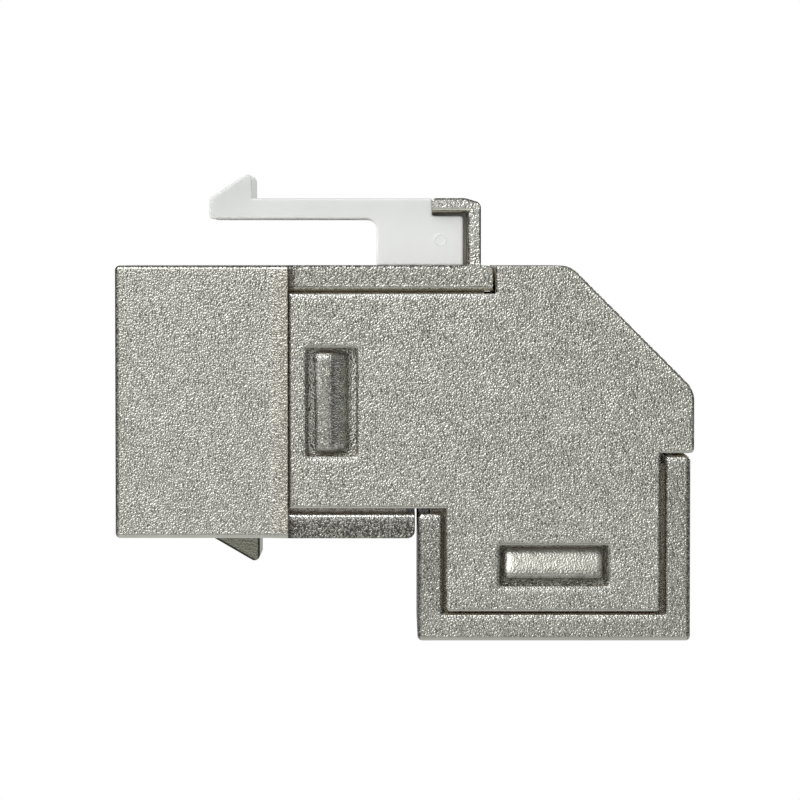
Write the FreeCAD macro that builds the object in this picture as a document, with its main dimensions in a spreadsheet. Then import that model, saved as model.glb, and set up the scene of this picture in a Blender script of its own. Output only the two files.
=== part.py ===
"""Right-angle keystone coupler: two shielded eight-way ports in die-cast shells, joined by an elbow cover.

Frame: X runs from the front port's face into the coupler, Y across its width, Z up towards the release latch.
The origin is on the front face, on the axis of the front port's shell. Sizes are in millimetres.

Both ports are modelled in a port frame of their own: the face at x = 0, the plug going in along +X and
the contact wires on the +Z side. The front port's frame is the part's frame. The lower port's frame is
turned a quarter turn, so that its face looks down and its wires are on the side of the front port.
"""

import FreeCAD
import Part
import Sketcher

import math
import os
import re

SIZES = {
    # Modular port opening and the room for a plug
    "port_width": 11.9,
    "port_height": 6.8,
    "port_rise": 0.1,
    "tab_slot_width": 6.3,
    "tab_slot_depth": 1.4,
    "tab_groove_width": 4.0,
    "tab_groove_depth": 1.2,
    "plug_depth": 12.6,
    # Walls of the two port shells
    "face_wall": 1.5,
    "arm_wall": 1.5,
    "block_wall": 1.05,
    "core_wall": 0.5,
    "sill": 0.65,
    "spring_room": 0.25,
    "arm_lip": 0.5,
    "lower_lip": 0.75,
    "block_depth": 10.2,
    "flare_length": 1.1,
    "flare_rise": 0.25,
    "lower_band": 1.6,
    "shell_edge": 0.28,
    "front_arm_edge": 0.45,
    "lower_arm_edge": 0.3,
    "arm_lip_round": 0.3,
    "lower_lip_round": 0.2,
    "rail_depth": 0.9,
    "rail_setback": 0.5,
    "rail_tongue": 0.6,
    # Clearances between the castings, as the seams show them
    "front_seam": 0.07,
    "seam": 0.15,
    "slack": 0.28,
    "cheek_fit": 0.1,
    # Elbow cover
    "cheek_wall": 0.8,
    "roof_wall": 1.2,
    "back_step": 0.2,
    "back_hem": 3.0,
    "chamfer": 7.3,
    "chamfer_round": 1.5,
    "cheek_corner": 0.28,
    "cheek_edge": 0.15,
    # Snap windows in the cheeks and the lugs that click into them
    "window_length": 6.4,
    "front_window_inset": 1.1,
    "front_window_width": 2.85,
    "lower_window_inset": 1.5,
    "lower_window_width": 2.4,
    "lug_rise": 0.74,
    "lug_toe": 0.2,
    "lug_bend": 0.4,
    "lug_edge": 0.14,
    "lug_lock_gap": 0.44,
    "lug_side_gap": 0.32,
    "front_lug_ramp_gap": 0.52,
    "front_lug_crest": 1.0,
    "lower_lug_ramp_gap": 0.22,
    "lower_lug_crest": 0.4,
    "core_margin": 0.65,
    # Fixed catch under the front shell
    "catch_setback": 8.35,
    "catch_run": 3.3,
    "catch_drop": 1.92,
    "catch_width": 5.0,
    "catch_round": 0.32,
    # Bracket on the front shell that holds the latch
    "bracket_wall": 0.85,
    "bracket_reach": 2.9,
    "bracket_width": 9.2,
    "bracket_fit": 0.2,
    "bracket_slope_run": 0.95,
    "bracket_slope_drop": 0.28,
    "bracket_round": 0.4,
    "bracket_tip_round": 0.25,
    "bracket_lip_round": 0.3,
    "arm_tail": 0.65,
    # Release latch
    "latch_setback": 15.4,
    "latch_width": 8.2,
    "foot_length": 5.17,
    "foot_height": 4.0,
    "latch_thick": 1.23,
    "root_round": 0.6,
    "root_land": 0.2,
    "hook_setback": 7.97,
    "hook_run": 2.55,
    "hook_rise": 1.63,
    "hook_round": 0.3,
    "tip_round": 0.25,
    "peg_inset": 1.4,
    "peg_length": 1.6,
    "peg_width": 3.0,
    "peg_depth": 0.9,
    "peg_fit": 0.1,
    # Contact carriers, moulded in plastic
    "slab_thick": 2.85,
    "stop_wall": 1.6,
    "carrier_fit": 0.1,
    "wire_slot": 0.62,
    # Contact wires, bent from flat strip
    "wire_pitch": 1.016,
    "wire_width": 0.46,
    "wire_thick": 0.3,
    "wire_bend": 0.4,
    "bend_inset": 1.8,
    "wire_drop": 1.7,
    "tip_gap": 1.2,
    "run_inset": 0.75,
    "row_pitch": 1.2,
    "tail_rise": 1.5,
    "tail_stub": 0.4,
    # Circuit board between the two ports
    "board_gap": 0.7,
    "board_thick": 1.2,
    "board_room": 1.73,
    "board_fit": 0.15,
    "board_hole": 0.8,
    "lower_seat": 0.1,
    # Shield springs on the side walls of each port
    "spring_thick": 0.2,
    "spring_height": 3.0,
    "spring_length": 4.5,
    "spring_flat": 1.2,
    "spring_bow": 0.65,
    "spring_bend": 0.8,
}

EIGHTH_TURN = math.radians(45)

PLACES = {
    # Half widths, from the port outwards
    "port_half": "port_width / 2",
    "cavity_half": "port_half + spring_room",
    "core_half": "cavity_half + core_wall",
    "cheek_inner": "core_half + cheek_fit",
    "elbow_half": "cheek_inner + cheek_wall",
    "face_half": "cavity_half + block_wall",
    "flare_half": "face_half + flare_rise",
    "arm_half": "core_half + arm_lip",
    "lower_half": "core_half + lower_lip",
    "carrier_half": "cavity_half - spring_thick - carrier_fit / 2",
    # Levels in the port frame, from the port outwards
    "port_top": "port_rise + port_height / 2",
    "port_low": "port_rise - port_height / 2",
    "slot_low": "port_low - tab_slot_depth",
    "groove_low": "slot_low - tab_groove_depth",
    "slab_low": "port_top + carrier_fit",
    "slab_top": "slab_low + slab_thick",
    "cavity_top": "slab_top + carrier_fit",
    "cavity_low": "groove_low - sill",
    "face_top": "cavity_top + arm_wall",
    "face_low": "cavity_low - arm_wall",
    "upper_run": "slab_top - run_inset",
    "lower_run": "upper_run - row_pitch",
    "wire_tip_level": "port_top - wire_drop",
    # Depths in the port frame
    "carrier_front": "face_wall + carrier_fit",
    "carrier_back": "plug_depth + stop_wall",
    "wire_bend_front": "face_wall + bend_inset",
    "wire_tip_back": "plug_depth - tip_gap",
    "upper_turn": "carrier_back + tail_rise",
    "lower_turn": "upper_turn + row_pitch",
    "spring_front": "face_wall + carrier_fit",
    "spring_back": "spring_front + spring_length",
    # Circuit board and the lower port's place behind it
    "board_front": "carrier_back + board_gap",
    "board_back": "board_front + board_thick",
    "lower_drop": "carrier_back - lower_seat",
    "lower_front": "board_back + board_room",
    "lower_axis": "lower_front + face_top",
    "lower_back": "lower_axis - face_low",
    # Latch, foot and bracket, from the front face backwards
    "foot_back": "latch_setback + foot_length",
    "leg_front": "foot_back + bracket_fit",
    "leg_back": "leg_front + bracket_wall",
    "bracket_tip": "leg_back - bracket_reach",
    "latch_top": "face_top + foot_height",
    "bracket_low": "latch_top - bracket_wall",
    "step_top": "bracket_low - bracket_fit",
    "latch_low": "latch_top - latch_thick",
    "latch_root": "latch_setback - root_round - root_land",
    "latch_tip": "hook_setback - hook_run",
    "hook_top": "latch_top + hook_rise",
    "peg_front": "latch_setback + peg_inset",
    "peg_back": "peg_front + peg_length",
    "peg_low": "face_top - peg_depth",
    "catch_front": "catch_setback - catch_run",
    "catch_low": "face_low - catch_drop",
    # Elbow cover, set off from the shells by the seams
    "cheek_front": "block_depth + front_seam",
    "cheek_top": "cavity_top - seam",
    "cheek_low": "cavity_low + slack",
    "roof_front": "leg_back + arm_tail + seam",
    "roof_low": "face_top - roof_wall",
    "elbow_back": "lower_back + back_step",
    "back_inner": "elbow_back - roof_wall",
    "chamfer_front": "elbow_back - chamfer",
    "chamfer_low": "face_top - chamfer",
    "inner_shift": f"roof_wall * {math.tan(EIGHTH_TURN / 2)}",
    "tongue_front": "lower_front + arm_wall + seam",
    "tongue_back": "lower_back - arm_wall - slack",
    "tongue_low": "lower_band + seam - lower_drop",
    # Snap windows: depth in each port's own frame
    "front_window_front": "cheek_front + front_window_inset",
    "front_window_back": "front_window_front + front_window_width",
    "lower_window_front": "lower_band + seam + lower_window_inset",
    "lower_window_back": "lower_window_front + lower_window_width",
    # Ends of the shells' arms and side walls, depth in each port's own frame
    "front_roof_back": "leg_back + arm_tail",
    "front_floor_back": "lower_front - seam",
    "front_core_back": "front_window_back + core_margin",
    "lower_roof_back": "lower_drop + cavity_low",
    "lower_floor_back": "lower_drop - back_hem - seam",
    "lower_core_back": "lower_window_back + core_margin",
    "front_roof_rail_back": "front_roof_back - rail_setback",
    "front_floor_rail_back": "front_floor_back - rail_setback",
    "lower_roof_rail_back": "lower_roof_back + rail_tongue",
    "lower_floor_rail_back": "lower_floor_back - rail_setback",
}

WIRES = 8
ROW_WIRES = WIRES // 2
TOUCH = 1e-4

doc = FreeCAD.newDocument("keystone_coupler")
sheet = doc.addObject("Spreadsheet::Sheet", "Dims")
for row, (alias, size) in enumerate(SIZES.items(), 1):
    sheet.set(f"A{row}", alias)
    sheet.set(f"B{row}", str(size))
    sheet.setAlias(f"B{row}", alias)
doc.recompute()


def formula(text):
    """Spell out a size, a place or a sum of them as an expression on the sheet's cells."""

    def spell(match):
        name = match[0]
        return f"Dims.{name}" if name in SIZES else f"({formula(PLACES[name])})"

    return re.sub(r"[a-z_]+", spell, text)


def measure(text):
    """The present value of a size, a place or a sum of them."""
    return float(sheet.evalExpression(formula(text)))


def new_body(label):
    body = doc.addObject("PartDesign::Body", label)
    body.Label = label
    return body


def origin_feature(body, role):
    return next(f for f in body.Origin.OriginFeatures if f.Role == role)


def new_sketch(body, name, plane, offset="0"):
    """An empty sketch on one of the body's origin planes, moved along that plane's normal."""
    sketch = body.newObject("Sketcher::SketchObject", name)
    sketch.AttachmentSupport = [(origin_feature(body, plane), "")]
    sketch.MapMode = "FlatFace"
    sketch.setExpression("AttachmentOffset.Base.z", formula(offset))
    return sketch


def bind(sketch, kind, *where_and_size):
    """Add a constraint whose size follows the sheet."""
    *where, size = where_and_size
    index = sketch.addConstraint(Sketcher.Constraint(kind, *where, measure(size)))
    sketch.setExpression(f"Constraints[{index}]", formula(size))


def draw(sketch, corners, closed=True):
    """Draw straight runs through corners given as (across, up) or (across, up, corner radius)."""
    points = [FreeCAD.Vector(measure(c[0]), measure(c[1]), 0) for c in corners]
    runs = len(points) if closed else len(points) - 1
    for i in range(runs):
        sketch.addGeometry(Part.LineSegment(points[i], points[(i + 1) % len(points)]), False)
    for i in range(runs if closed else runs - 1):
        sketch.addConstraint(Sketcher.Constraint("Coincident", i, 2, (i + 1) % runs, 1))
    for i, corner in enumerate(corners):
        line, end = (i, 1) if i < runs else (i - 1, 2)
        bind(sketch, "DistanceX", -1, 1, line, end, corner[0])
        bind(sketch, "DistanceY", -1, 1, line, end, corner[1])
    for i, corner in enumerate(corners):
        if len(corner) == 3:
            arc = sketch.GeometryCount
            sketch.fillet((i - 1) % runs, 2, measure(corner[2]), True, True)
            bind(sketch, "Radius", arc, corner[2])


def box_corners(left, right, low, high):
    return [(left, low), (right, low), (right, high), (left, high)]


def extrude(body, kind, sketch, name, length):
    """Push the sketch's area out to both sides of its plane, half the length to each."""
    feature = body.newObject(kind, name)
    feature.Profile = sketch
    feature.Midplane = True
    feature.setExpression("Length", formula(length))
    return feature


def pad(body, sketch, name, length):
    return extrude(body, "PartDesign::Pad", sketch, name, length)


def pocket(body, sketch, name, length):
    return extrude(body, "PartDesign::Pocket", sketch, name, length)


def slab(body, name, corners, width, across="0"):
    """A piece of side view, drawn in X and Z and given a width that is shared by both sides of Y = across."""
    sketch = new_sketch(body, f"{name}_outline", "XZ_Plane", f"-({across})")
    draw(sketch, corners)
    return pad(body, sketch, name, width)


def cut_slab(body, name, corners, width, across="0"):
    """The same, taken away."""
    sketch = new_sketch(body, f"{name}_outline", "XZ_Plane", f"-({across})")
    draw(sketch, corners)
    return pocket(body, sketch, name, width)


def mirror_across(body, feature, name):
    """Repeat a feature on the other side of Y = 0."""
    mirrored = body.newObject("PartDesign::Mirrored", name)
    mirrored.Originals = [feature]
    mirrored.MirrorPlane = (origin_feature(body, "XZ_Plane"), [""])
    body.Tip = mirrored
    return mirrored


def repeat_across(body, feature, name, pitch, count):
    """Repeat a feature along +Y."""
    pattern = body.newObject("PartDesign::LinearPattern", name)
    pattern.Originals = [feature]
    pattern.Direction = (origin_feature(body, "Y_Axis"), [""])
    pattern.setExpression("Length", formula(f"({pitch}) * {count - 1}"))
    pattern.Occurrences = count
    body.Tip = pattern
    return pattern


def round_edges(body, name, radius, chosen):
    """Fillet the edges of the body's tip whose bounding box the test accepts."""
    doc.recompute()
    tip = body.Tip
    names = [f"Edge{i}" for i, edge in enumerate(tip.Shape.Edges, 1) if chosen(edge.BoundBox)]
    feature = body.newObject("PartDesign::Fillet", name)
    feature.Base = (tip, names)
    feature.setExpression("Radius", formula(radius))
    return feature


def lies_at(low, high, level):
    """True where a span of a bounding box is no more than a point at that level."""
    return abs(low - level) < TOUCH and abs(high - level) < TOUCH


def strip(body, name, plane, path, end_plane, end_offset, end_corners):
    """A flat strip bent along a path, with its section drawn on the plane where the path starts."""
    spine = new_sketch(body, f"{name}_path", *plane)
    draw(spine, path, closed=False)
    section = new_sketch(body, f"{name}_section", end_plane, end_offset)
    draw(section, end_corners)
    pipe = body.newObject("PartDesign::AdditivePipe", name)
    pipe.Profile = section
    pipe.Spine = (spine, [])
    return pipe


def place_in_lower_port(body):
    """Move a body from the port frame to the lower port."""
    body.Placement = FreeCAD.Placement(FreeCAD.Vector(), FreeCAD.Rotation(FreeCAD.Vector(0, 1, 0), -90))
    body.setExpression("Placement.Base.x", formula("lower_axis"))
    body.setExpression("Placement.Base.z", formula("-lower_drop"))


def port_shell(body, port, arm_half):
    """What the two die-cast shells share: side walls, arms, plug cavity, opening, rails and snap lugs."""
    core_back = f"{port}_core_back"
    arm_width = f"2 * {arm_half}"
    arm_edge = f"{port}_arm_edge"
    slab(body, f"{port}_core", box_corners("0", core_back, "face_low", "face_top"), "2 * core_half")
    slab(
        body,
        f"{port}_roof_arm",
        [
            ("0", "cavity_top"),
            (f"{port}_roof_back", "cavity_top"),
            (f"{port}_roof_back", "face_top", arm_edge),
            ("0", "face_top"),
        ],
        arm_width,
    )
    slab(
        body,
        f"{port}_floor_arm",
        [
            ("0", "face_low"),
            (f"{port}_floor_back", "face_low", arm_edge),
            (f"{port}_floor_back", "cavity_low"),
            ("0", "cavity_low"),
        ],
        arm_width,
    )
    hollow = box_corners("face_wall", f"{core_back} + face_wall", "cavity_low", "cavity_top")
    cut_slab(body, f"{port}_cavity", hollow, "2 * cavity_half")
    opening = new_sketch(body, f"{port}_opening_outline", "YZ_Plane")
    draw(
        opening,
        [
            ("-port_half", "port_top"),
            ("-port_half", "port_low"),
            ("-tab_slot_width / 2", "port_low"),
            ("-tab_slot_width / 2", "slot_low"),
            ("-tab_groove_width / 2", "slot_low"),
            ("-tab_groove_width / 2", "groove_low"),
            ("tab_groove_width / 2", "groove_low"),
            ("tab_groove_width / 2", "slot_low"),
            ("tab_slot_width / 2", "slot_low"),
            ("tab_slot_width / 2", "port_low"),
            ("port_half", "port_low"),
            ("port_half", "port_top"),
        ],
    )
    pocket(body, opening, f"{port}_opening", "2 * face_wall")
    rail_front = f"{core_back} - core_margin"
    rails = {
        "roof": ("cavity_top - rail_depth", "face_top - arm_wall / 2"),
        "floor": ("face_low + arm_wall / 2", "cavity_low + rail_depth"),
    }
    for arm, (low, high) in rails.items():
        name = f"{port}_{arm}_rail"
        corners = box_corners(rail_front, f"{name}_back", low, high)
        rail = slab(body, name, corners, "core_wall", "cavity_half + core_wall / 2")
        mirror_across(body, rail, f"{name}_pair")
    lock_face = f"{port}_window_front + lug_lock_gap"
    crest_end = f"{lock_face} + {port}_lug_crest"
    ramp_end = f"{port}_window_back - {port}_lug_ramp_gap"
    lug_outline = new_sketch(body, f"{port}_lug_outline", "XY_Plane")
    draw(
        lug_outline,
        [
            (lock_face, "cavity_half"),
            (ramp_end, "cavity_half"),
            (ramp_end, "core_half + lug_toe"),
            (crest_end, "core_half + lug_rise", "lug_bend"),
            (lock_face, "core_half + lug_rise"),
        ],
    )
    lug = pad(body, lug_outline, f"{port}_lug", "window_length - 2 * lug_side_gap")
    mirror_across(body, lug, f"{port}_lug_pair")


def round_shell(body, port, half, long_edge_back):
    """Round a shell's face and the long edges that run back from its corners."""
    half = measure(half)
    levels = (measure("face_top"), measure("face_low"))
    far = measure(long_edge_back)

    def chosen(box):
        on_level = any(lies_at(box.ZMin, box.ZMax, level) for level in levels)
        on_side = any(lies_at(box.YMin, box.YMax, side) for side in (-half, half))
        on_face = lies_at(box.XMin, box.XMax, 0)
        runs_back = box.XLength > TOUCH and min(abs(box.YMin), abs(box.YMax)) > half - TOUCH
        return (on_face and (on_level or on_side)) or (on_level and runs_back and box.XMax < far + TOUCH)

    round_edges(body, f"{port}_edges", "shell_edge", chosen)


def round_lugs(body, port):
    """Round the lugs' outer edges, which are worn by every snap."""
    reach = measure("core_half + lug_toe")
    lock_face = measure(f"{port}_window_front + lug_lock_gap")
    ramp_end = measure(f"{port}_window_back - {port}_lug_ramp_gap")
    side = measure("window_length / 2 - lug_side_gap")

    def chosen(box):
        outside = min(abs(box.YMin), abs(box.YMax)) > reach - TOUCH
        along = box.XMin > lock_face - TOUCH and box.XMax < ramp_end + TOUCH
        on_side = any(lies_at(box.ZMin, box.ZMax, level) for level in (-side, side))
        on_end = any(lies_at(box.XMin, box.XMax, end) for end in (lock_face, ramp_end))
        within = max(abs(box.ZMin), abs(box.ZMax)) < side + TOUCH
        return outside and along and within and (on_side or on_end)

    round_edges(body, f"{port}_lug_edges", "lug_edge", chosen)


def round_arm_lips(body):
    """Round the front shell's arms along the edges that look at the elbow cover's cheeks."""
    half = measure("arm_half")
    levels = (measure("cavity_top"), measure("cavity_low"))

    def chosen(box):
        on_level = any(lies_at(box.ZMin, box.ZMax, level) for level in levels)
        return on_level and any(lies_at(box.YMin, box.YMax, side) for side in (-half, half))

    round_edges(body, "arm_lips", "arm_lip_round", chosen)


def round_lower_lips(body):
    """Round the lower shell's edges that look at the elbow cover's tongue."""
    half = measure("lower_half")
    levels = (measure("cavity_top"), measure("cavity_low"))
    band = measure("lower_band")

    def chosen(box):
        on_level = any(lies_at(box.ZMin, box.ZMax, level) for level in levels)
        on_band = lies_at(box.XMin, box.XMax, band)
        return (on_level or on_band) and any(lies_at(box.YMin, box.YMax, side) for side in (-half, half))

    round_edges(body, "lower_lips", "lower_lip_round", chosen)


def round_bracket(body):
    """Round the edges of the bracket that look at the latch."""
    half = measure("bracket_width / 2")
    leg = measure("leg_front")
    low = measure("bracket_low")

    def chosen(box):
        on_side = any(lies_at(box.YMin, box.YMax, side) for side in (-half, half))
        return on_side and (lies_at(box.XMin, box.XMax, leg) or lies_at(box.ZMin, box.ZMax, low))

    round_edges(body, "bracket_lips", "bracket_lip_round", chosen)


def build_front_shell():
    body = new_body("front_shell")
    block_plan = new_sketch(body, "front_block_plan", "XY_Plane", "(face_top + face_low) / 2")
    draw(
        block_plan,
        [
            ("0", "-face_half"),
            ("block_depth - flare_length", "-face_half"),
            ("block_depth", "-flare_half"),
            ("block_depth", "flare_half"),
            ("block_depth - flare_length", "face_half"),
            ("0", "face_half"),
        ],
    )
    pad(body, block_plan, "front_block", "face_top - face_low")
    port_shell(body, "front", "arm_half")
    slab(
        body,
        "fixed_catch",
        [
            ("catch_front", "face_low + arm_wall / 2"),
            ("catch_front", "face_low"),
            ("catch_setback", "catch_low", "catch_round"),
            ("catch_setback", "face_low + arm_wall / 2"),
        ],
        "catch_width",
    )
    slab(
        body,
        "latch_bracket",
        [
            ("leg_front", "face_top - arm_wall / 2"),
            ("leg_back", "face_top - arm_wall / 2"),
            ("leg_back", "latch_top - bracket_slope_drop", "bracket_round"),
            ("leg_back - bracket_slope_run", "latch_top", "bracket_round"),
            ("bracket_tip", "latch_top", "bracket_tip_round"),
            ("bracket_tip", "bracket_low"),
            ("leg_front", "bracket_low"),
        ],
        "bracket_width",
    )
    peg_span = ("peg_front - peg_fit", "peg_back + peg_fit")
    peg_hole = box_corners(*peg_span, "peg_low - peg_fit", "face_top + peg_fit")
    cut_slab(body, "latch_peg_hole", peg_hole, "peg_width + 2 * peg_fit")
    round_shell(body, "front", "face_half", "block_depth")
    round_arm_lips(body)
    round_lugs(body, "front")
    round_bracket(body)
    return body


def build_lower_shell():
    body = new_body("lower_shell")
    slab(body, "lower_block", box_corners("0", "lower_band", "face_low", "face_top"), "2 * lower_half")
    port_shell(body, "lower", "lower_half")
    round_shell(body, "lower", "lower_half", "lower_floor_back")
    round_lower_lips(body)
    round_lugs(body, "lower")
    place_in_lower_port(body)
    return body


def round_cheeks(body):
    """Round the outline of both cheeks and of their windows."""
    half = measure("elbow_half")

    def on_cheek(box):
        return any(lies_at(box.YMin, box.YMax, side) for side in (-half, half))

    round_edges(body, "cheek_edges", "cheek_edge", on_cheek)


def build_elbow_cover():
    body = new_body("elbow_cover")
    slab(
        body,
        "elbow_block",
        [
            ("cheek_front", "cheek_low"),
            ("tongue_front", "cheek_low"),
            ("tongue_front", "tongue_low", "cheek_corner"),
            ("tongue_back", "tongue_low", "cheek_corner"),
            ("tongue_back", "-back_hem"),
            ("elbow_back", "-back_hem", "cheek_corner"),
            ("elbow_back", "chamfer_low", "chamfer_round"),
            ("chamfer_front", "face_top", "chamfer_round"),
            ("roof_front", "face_top"),
            ("roof_front", "cheek_top"),
            ("cheek_front", "cheek_top"),
        ],
        "2 * elbow_half",
    )
    cut_slab(
        body,
        "elbow_hollow",
        [
            ("cheek_front - roof_wall", "tongue_low - roof_wall"),
            ("back_inner", "tongue_low - roof_wall"),
            ("back_inner", "chamfer_low - inner_shift"),
            ("chamfer_front - inner_shift", "roof_low"),
            ("cheek_front - roof_wall", "roof_low"),
        ],
        "2 * cheek_inner",
    )
    front_window = box_corners(
        "front_window_front", "front_window_back", "-window_length / 2", "window_length / 2"
    )
    cut_slab(body, "front_windows", front_window, "4 * elbow_half")
    lower_window = box_corners(
        "lower_axis - window_length / 2",
        "lower_axis + window_length / 2",
        "lower_window_front - lower_drop",
        "lower_window_back - lower_drop",
    )
    cut_slab(body, "lower_windows", lower_window, "4 * elbow_half")
    round_cheeks(body)
    return body


def build_latch():
    foot = new_body("latch_foot")
    slab(
        foot,
        "foot",
        [
            ("latch_setback", "face_top"),
            ("foot_back", "face_top"),
            ("foot_back", "step_top"),
            ("bracket_tip", "step_top"),
            ("bracket_tip", "latch_top"),
            ("latch_root", "latch_top"),
            ("latch_root", "latch_low"),
            ("latch_setback", "latch_low", "root_round"),
        ],
        "latch_width",
    )
    peg = box_corners("peg_front", "peg_back", "peg_low", "face_top + peg_depth")
    slab(foot, "foot_peg", peg, "peg_width")
    arm = new_body("latch_arm")
    slab(
        arm,
        "arm",
        [
            ("latch_root", "latch_low"),
            ("latch_root", "latch_top"),
            ("hook_setback", "latch_top"),
            ("hook_setback", "hook_top", "hook_round"),
            ("latch_tip", "latch_top"),
            ("latch_tip", "latch_low", "tip_round"),
        ],
        "latch_width",
    )
    return [foot, arm]


def wire_across(number):
    """Where a contact wire, numbered from 1, lies across the width."""
    return f"wire_pitch * ({number} - {(WIRES + 1) / 2})"


def wire_row(number):
    """Odd wires run in the upper row of the comb, even ones in the lower row."""
    return "upper" if number % 2 else "lower"


def build_carrier(port):
    body = new_body(f"{port}_contact_carrier")
    slab(
        body,
        f"{port}_carrier_angle",
        [
            ("carrier_front", "slab_low"),
            ("plug_depth", "slab_low"),
            ("plug_depth", "cavity_low + carrier_fit"),
            ("carrier_back", "cavity_low + carrier_fit"),
            ("carrier_back", "slab_top"),
            ("carrier_front", "slab_top"),
        ],
        "2 * carrier_half",
    )
    for first in (1, 2):
        row = wire_row(first)
        ceiling = f"{row}_run + wire_thick / 2"
        slot = cut_slab(
            body,
            f"{port}_{row}_slot",
            box_corners("wire_bend_front", "carrier_back", "slab_low", ceiling),
            "wire_slot",
            wire_across(first),
        )
        repeat_across(body, slot, f"{port}_{row}_slots", "2 * wire_pitch", ROW_WIRES)
    return body


def build_wire(port, number):
    body = new_body(f"{port}_contact_{number}")
    across = wire_across(number)
    run = f"{wire_row(number)}_run"
    turn = f"{wire_row(number)}_turn"
    side = (f"{across} - wire_width / 2", f"{across} + wire_width / 2")
    spring_end = [("wire_bend_front", run, "wire_bend"), ("wire_tip_back", "wire_tip_level")]
    if port == "front":
        tail = "board_back + tail_stub"
        path = [(tail, run), *spring_end]
        section = box_corners(*side, f"{run} - wire_thick / 2", f"{run} + wire_thick / 2")
    else:
        tail = "lower_axis - board_front + tail_stub"
        path = [(turn, tail), (turn, run, "wire_bend"), *spring_end]
        section = box_corners(f"{turn} - wire_thick / 2", f"{turn} + wire_thick / 2", *side)
    tail_plane = "YZ_Plane" if port == "front" else "XY_Plane"
    strip(body, f"{port}_wire_{number}", ("XZ_Plane", f"-({across})"), path, tail_plane, tail, section)
    return body


def build_shield_spring(port, side):
    body = new_body(f"{port}_shield_spring_{side}")
    sign = "" if side == "left" else "-"
    seat = f"{sign}(cavity_half - spring_thick / 2)"
    bow = f"{sign}(cavity_half - spring_thick / 2 - spring_bow)"
    path = [
        ("spring_back", seat),
        ("spring_back - spring_flat", seat, "spring_bend"),
        ("(spring_back - spring_flat + spring_front) / 2", bow, "spring_bend"),
        ("spring_front", seat),
    ]
    section = box_corners(
        f"{seat} - spring_thick / 2",
        f"{seat} + spring_thick / 2",
        "port_rise - spring_height / 2",
        "port_rise + spring_height / 2",
    )
    strip(body, f"{port}_spring_{side}", ("XY_Plane", "port_rise"), path, "YZ_Plane", "spring_back", section)
    return body


def build_board():
    body = new_body("circuit_board")
    outline = new_sketch(body, "board_outline", "YZ_Plane", "(board_front + board_back) / 2")
    edge = "cavity_half - 2 * board_fit"
    draw(outline, box_corners(f"-({edge})", edge, "cavity_low + board_fit", "cavity_top - board_fit"))
    pad(body, outline, "board", "board_thick")
    rows = {
        "front_upper": (1, "upper_run"),
        "front_lower": (2, "lower_run"),
        "lower_upper": (1, "upper_turn - lower_drop"),
        "lower_lower": (2, "lower_turn - lower_drop"),
    }
    facing = FreeCAD.Vector(0, 0, 1)
    for row, (first, level) in rows.items():
        drill = new_sketch(body, f"{row}_hole_outline", "YZ_Plane", "(board_front + board_back) / 2")
        drill.addGeometry(Part.Circle(FreeCAD.Vector(), facing, measure("board_hole / 2")), False)
        bind(drill, "DistanceX", -1, 1, 0, 3, wire_across(first))
        bind(drill, "DistanceY", -1, 1, 0, 3, level)
        bind(drill, "Radius", 0, "board_hole / 2")
        hole = pocket(body, drill, f"{row}_hole", "2 * board_thick")
        repeat_across(body, hole, f"{row}_holes", "2 * wire_pitch", ROW_WIRES)
    return body


def build_parts():
    parts = [build_front_shell(), build_lower_shell(), build_elbow_cover(), *build_latch(), build_board()]
    for port in ("front", "lower"):
        inner = [build_carrier(port)]
        inner += [build_wire(port, number) for number in range(1, WIRES + 1)]
        inner += [build_shield_spring(port, side) for side in ("left", "right")]
        if port == "lower":
            for body in inner:
                place_in_lower_port(body)
        parts += inner
    return parts


def check(parts):
    """Stop if any feature failed or any part isn't one valid solid."""
    for item in doc.Objects:
        if "Invalid" in item.State or "Error" in item.State:
            raise RuntimeError(f"{item.Label} failed: {item.State}")
    for part in parts:
        shape = part.Shape
        if shape.isNull() or not shape.isValid() or len(shape.Solids) != 1:
            raise RuntimeError(f"{part.Label} isn't one valid solid")


parts = build_parts()
doc.recompute()
check(parts)
os.makedirs("parts", exist_ok=True)
for part in parts:
    part.Shape.exportStep(os.path.join("parts", f"{part.Label}.step"))
    print(part.Label, round(part.Shape.Volume, 2))
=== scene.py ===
"""Right-angle keystone coupler: finishes, the moulded latch, floor, lamps and camera around the fixed frame.

Blender's lengths are metres in the part's own frame: X from the front port's face into the coupler, Y across
it, Z up towards the release latch. Sizes of the part, its finishes and the camera are named in millimetres,
those of the floor's sheet and the lamps in metres.
"""

import functools
import math

import bmesh
import bpy
from mathutils import Matrix, Vector


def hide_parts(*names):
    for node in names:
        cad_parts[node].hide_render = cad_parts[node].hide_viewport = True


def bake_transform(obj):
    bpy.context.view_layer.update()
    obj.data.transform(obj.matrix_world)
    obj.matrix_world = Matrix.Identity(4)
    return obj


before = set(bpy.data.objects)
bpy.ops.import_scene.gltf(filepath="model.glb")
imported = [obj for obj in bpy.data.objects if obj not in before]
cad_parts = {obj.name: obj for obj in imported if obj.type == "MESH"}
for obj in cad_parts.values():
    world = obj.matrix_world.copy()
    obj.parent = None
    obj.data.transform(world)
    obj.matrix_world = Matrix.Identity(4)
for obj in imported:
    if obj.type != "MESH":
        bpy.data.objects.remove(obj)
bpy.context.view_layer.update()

MM = 0.001

# The photograph's view: a long lens at the height of the latch's foot, aimed at the middle of the near side
VIEW_CENTRE = (16.8, 0.137)
NEAR_SIDE = -7.6
CAMERA_DISTANCE = 220.0
CAMERA_HEIGHT = 8.5
VIEW_ACROSS = 47.04
SENSOR = 36.0
CLIP_NEAR = 10.0
CLIP_FAR = 5000.0

# White paper under the object: how far out it glows for the camera, and how far for reflections
FLOOR_LEVEL = -0.06
FLOOR_HALF = 0.4
PAPER_GLOW = 0.35
CAMERA_REACH = (30.0, 200.0)
MIRROR_REACH = (60.0, 260.0)

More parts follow.
